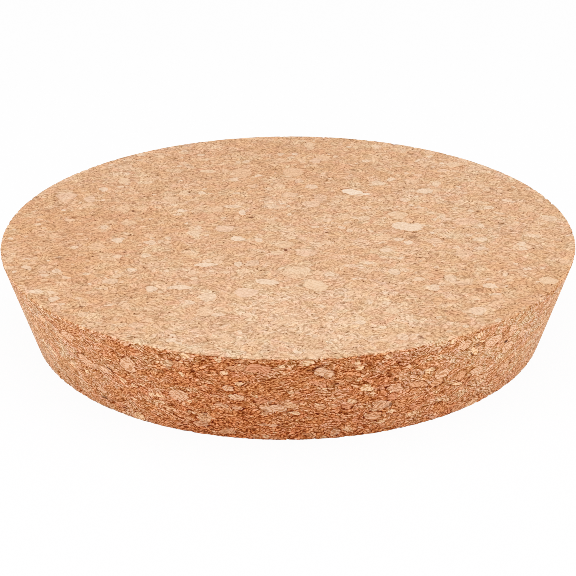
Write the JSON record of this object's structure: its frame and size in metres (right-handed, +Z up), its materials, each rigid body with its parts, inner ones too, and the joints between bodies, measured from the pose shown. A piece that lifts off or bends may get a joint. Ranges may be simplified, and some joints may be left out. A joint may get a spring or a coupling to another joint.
{
  "type": "cork stopper",
  "caption": "Wide, shallow tapered stopper of pressed cork granules that plugs the round mouth of a jar or canister; stands on its narrow end.",
  "frame": {"origin": "centre of the foot, the narrow flat end that the stopper stands on", "axes": "+Z up along the axis of the taper, towards the wide top face; X and Y lie in the foot"},
  "size_m": [0.1298, 0.1298, 0.022],
  "materials": {
    "pressed_cork": "matt, sanded granulated cork: fine tan grains with cream and pinkish chips up to 7 mm across, a darker and redder sanded wall"
  },
  "bodies": {
    "root": {"stopper": "pressed_cork"}
  },
  "joints": []
}
